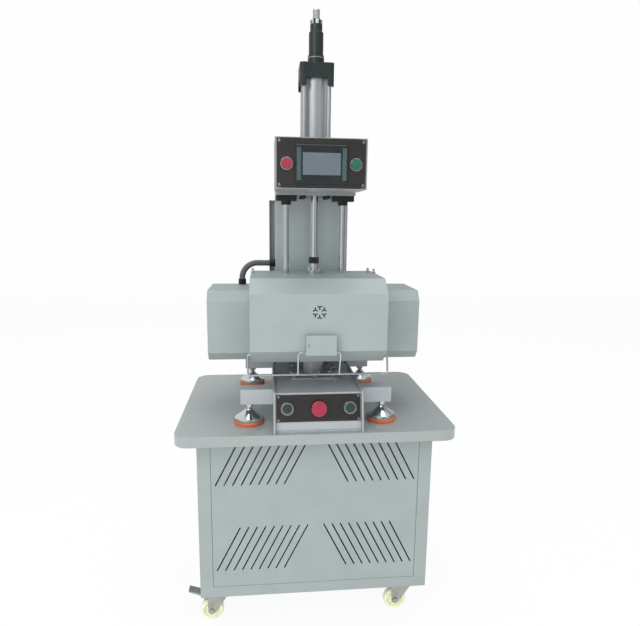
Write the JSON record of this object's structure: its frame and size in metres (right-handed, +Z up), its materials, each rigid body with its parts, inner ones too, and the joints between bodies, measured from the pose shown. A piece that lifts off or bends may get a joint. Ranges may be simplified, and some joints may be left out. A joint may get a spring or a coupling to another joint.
{
  "type": "pneumatic_flat_heat_press",
  "caption": "Pneumatic flat heat press on a wheeled louvred cabinet, with a guided press head, finger guard, two-hand start console and a touch-screen control box.",
  "frame": {"origin": "bounding box bottom centre, on the floor under the middle of the table top", "axes": "+X to the operator's right, +Y away from the operator, +Z up"},
  "size_m": [0.72, 0.53, 1.6303],
  "materials": {
    "body_enamel": "textured grey-green enamel",
    "table_enamel": "glossy grey enamel, worn at the rim",
    "deck_grey": "semi-matt grey enamel",
    "box_grey": "pale grey powder coat",
    "panel_dark": "dark smooth panel",
    "screen_dark": "dark screen with a slate frame",
    "cap_dark": "dark green-black anodised casting",
    "tube_alu": "clear anodised extrusion",
    "machined_alu": "machined flat plate",
    "chrome": "hard chromed and ground",
    "zinc": "zinc plated steel",
    "black_steel": "black oxide steel",
    "foot_rubber": "soft orange rubber, dusty",
    "wheel_nylon": "cream nylon with scuffed tread",
    "button_green": "moulded green plastic",
    "button_red": "moulded red plastic",
    "conduit_dark": "ribbed dark grey conduit",
    "steel_grey": "ground steel"
  },
  "bodies": {
    "root": {"table_top": "table_enamel", "cabinet_frame": "body_enamel", "front_panel": "body_enamel", "plain_panels": "body_enamel", "cabinet_floor": "body_enamel", "caster_plates": "zinc", "base_frame": "body_enamel", "console_deck": "deck_grey", "console_panel": "panel_dark", "panel_screws": "chrome", "crossbars": "deck_grey", "foot_pads": "foot_rubber", "foot_stems": "chrome", "column": "body_enamel", "column_cover": "body_enamel", "guide_plate": "machined_alu", "guide_bushes": "black_steel", "cylinder_lower_cap": "cap_dark", "cylinder_tube": "tube_alu", "cylinder_upper_cap": "cap_dark", "air_fittings": "zinc", "mount_bolts": "black_steel", "side_covers": "body_enamel", "lower_platen": "machined_alu", "pedestal": "steel_grey", "wing_bolts": "chrome", "control_box": "box_grey", "control_panel": "panel_dark", "touch_screen": "screen_dark", "button_rings": "chrome", "conduit": "conduit_dark", "conduit_glands": "black_steel"},
    "head": {"piston_rod": "chrome", "piston": "steel_grey", "stroke_adjuster": "cap_dark", "floating_joint": "black_steel", "rod_flange": "chrome", "guide_rods": "chrome", "head_frame": "steel_grey", "hood": "body_enamel", "upper_platen": "machined_alu", "heater_rods": "zinc", "switch_cover": "body_enamel", "head_fittings": "chrome"},
    "guard": {"guard_wire": "chrome"},
    "start_left": {"start_button_left": "button_green"},
    "start_right": {"start_button_right": "button_green"},
    "stop": {"stop_button": "button_red"},
    "run": {"run_button": "button_green"},
    "estop": {"estop_stem": "black_steel"},
    "estop_knob": {"estop_head": "button_red"},
    "brake": {"caster_brake": "zinc"},
    "fork_front_left": {"caster_fork_front_left": "zinc"},
    "wheel_front_left": {"caster_wheel_front_left": "wheel_nylon"},
    "fork_front_right": {"caster_fork_front_right": "zinc"},
    "wheel_front_right": {"caster_wheel_front_right": "wheel_nylon"},
    "fork_rear_left": {"caster_fork_rear_left": "zinc"},
    "wheel_rear_left": {"caster_wheel_rear_left": "wheel_nylon"},
    "fork_rear_right": {"caster_fork_rear_right": "zinc"},
    "wheel_rear_right": {"caster_wheel_rear_right": "wheel_nylon"}
  },
  "joints": [
    {"name": "head_slide", "type": "slide", "parent": "root", "child": "head", "axis": [0, 0, 1], "range_m": [0, 0.15]},
    {"name": "guard_swing", "type": "hinge", "parent": "head", "child": "guard", "pos_m": [0, -0.212, 0.776], "axis": [1, 0, 0], "range_deg": [0, 8], "stiffness_Nm_per_rad": 0.3},
    {"name": "start_left_push", "type": "slide", "parent": "root", "child": "start_left", "axis": [0, 0.9781, -0.2079], "range_m": [0, 0.004], "stiffness_N_per_m": 300},
    {"name": "start_right_push", "type": "slide", "parent": "root", "child": "start_right", "axis": [0, 0.9781, -0.2079], "range_m": [0, 0.004], "stiffness_N_per_m": 300},
    {"name": "stop_push", "type": "slide", "parent": "root", "child": "stop", "axis": [0, 1, 0], "range_m": [0, 0.003], "stiffness_N_per_m": 300},
    {"name": "run_push", "type": "slide", "parent": "root", "child": "run", "axis": [0, 1, 0], "range_m": [0, 0.003], "stiffness_N_per_m": 300},
    {"name": "estop_push", "type": "slide", "parent": "root", "child": "estop", "axis": [0, 0.9781, -0.2079], "range_m": [0, 0.005], "stiffness_N_per_m": 500},
    {"name": "estop_twist", "type": "hinge", "parent": "estop", "child": "estop_knob", "pos_m": [0, -0.24086, 0.64425], "axis": [0, -0.9781, 0.2079], "range_deg": [-30, 0], "stiffness_Nm_per_rad": 0.05},
    {"name": "swivel_front_left", "type": "hinge", "parent": "root", "child": "fork_front_left", "pos_m": [-0.26, -0.157, 0.09], "axis": [0, 0, 1], "continuous": true},
    {"name": "roll_front_left", "type": "hinge", "parent": "fork_front_left", "child": "wheel_front_left", "pos_m": [-0.285, -0.157, 0.0315], "axis": [0, 1, 0], "continuous": true},
    {"name": "swivel_front_right", "type": "hinge", "parent": "root", "child": "fork_front_right", "pos_m": [0.26, -0.157, 0.09], "axis": [0, 0, 1], "continuous": true},
    {"name": "roll_front_right", "type": "hinge", "parent": "fork_front_right", "child": "wheel_front_right", "pos_m": [0.235, -0.157, 0.0315], "axis": [0, 1, 0], "continuous": true},
    {"name": "swivel_rear_left", "type": "hinge", "parent": "root", "child": "fork_rear_left", "pos_m": [-0.26, 0.157, 0.09], "axis": [0, 0, 1], "continuous": true},
    {"name": "roll_rear_left", "type": "hinge", "parent": "fork_rear_left", "child": "wheel_rear_left", "pos_m": [-0.285, 0.157, 0.0315], "axis": [0, 1, 0], "continuous": true},
    {"name": "swivel_rear_right", "type": "hinge", "parent": "root", "child": "fork_rear_right", "pos_m": [0.26, 0.157, 0.09], "axis": [0, 0, 1], "continuous": true},
    {"name": "roll_rear_right", "type": "hinge", "parent": "fork_rear_right", "child": "wheel_rear_right", "pos_m": [0.235, 0.157, 0.0315], "axis": [0, 1, 0], "continuous": true},
    {"name": "brake_pedal", "type": "hinge", "parent": "fork_front_left", "child": "brake", "pos_m": [-0.289, -0.157, 0.074], "axis": [0, -1, 0], "range_deg": [0, 12]}
  ]
}
